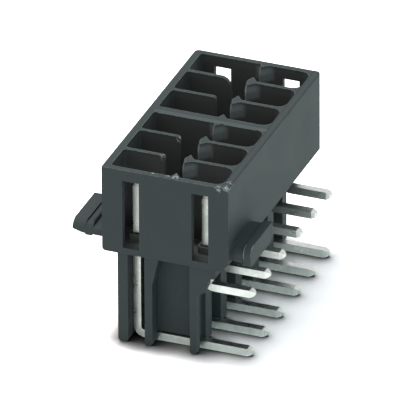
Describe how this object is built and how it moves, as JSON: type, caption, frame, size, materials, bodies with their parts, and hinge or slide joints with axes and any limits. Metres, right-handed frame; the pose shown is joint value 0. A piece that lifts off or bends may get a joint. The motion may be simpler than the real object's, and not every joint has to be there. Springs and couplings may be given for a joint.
{
  "type": "circuit board connector",
  "caption": "Right-angle board connector: black moulded housing with two columns of plug chambers, bent square tin-plated contacts, a board ledge and two side tabs.",
  "frame": {"origin": "middle of the bounding box at the undersides of the lower walls", "axes": "+X the way the solder legs point, towards the board; +Y along the rows, away from the end with the side tabs; +Z out of the mating face"},
  "size_m": [0.016, 0.0218, 0.0167],
  "materials": {
    "housing_plastic": "fine matt moulding texture, near black",
    "contact_tin": "bright tin plated"
  },
  "bodies": {
    "root": {"housing": "housing_plastic", "pin_left_1": "contact_tin", "pin_left_2": "contact_tin", "pin_left_3": "contact_tin", "pin_left_4": "contact_tin", "pin_left_5": "contact_tin", "pin_left_6": "contact_tin", "pin_right_1": "contact_tin", "pin_right_2": "contact_tin", "pin_right_3": "contact_tin", "pin_right_4": "contact_tin", "pin_right_5": "contact_tin", "pin_right_6": "contact_tin"}
  },
  "joints": []
}
